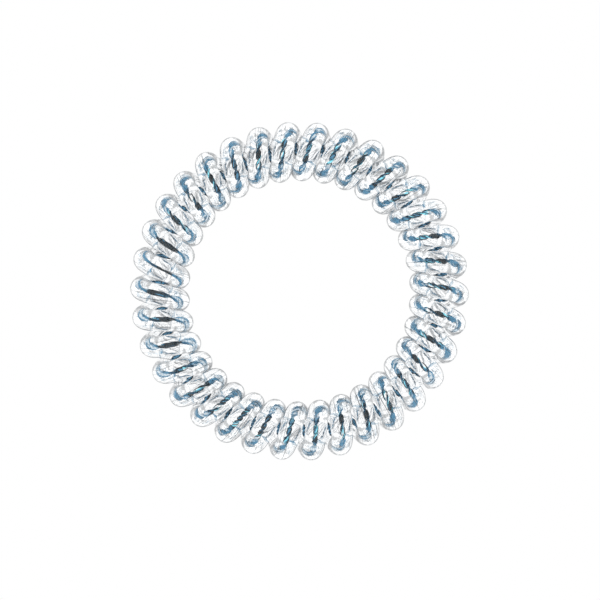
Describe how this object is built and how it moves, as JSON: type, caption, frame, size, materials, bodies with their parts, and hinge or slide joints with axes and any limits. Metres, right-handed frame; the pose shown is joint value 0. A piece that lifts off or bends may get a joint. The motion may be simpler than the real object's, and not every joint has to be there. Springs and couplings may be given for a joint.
{
  "type": "spiral hair tie",
  "caption": "Closed ring of clear elastic cord wound into a tight coil, with a twisted blue foil strip sealed inside the cord.",
  "frame": {"origin": "middle of the ring's hole, at the level of the surface that the ring lies on", "axes": "+Z is the ring's axis, upwards; one outermost point of the coil lies 9.42 degrees anticlockwise from +X"},
  "size_m": [0.05, 0.05, 0.0088],
  "materials": {
    "clear_cord": "clear glossy soft plastic",
    "blue_foil": "bright blue metallised film"
  },
  "bodies": {
    "root": {"clear_coil": "clear_cord", "foil_strip": "blue_foil"}
  },
  "joints": []
}
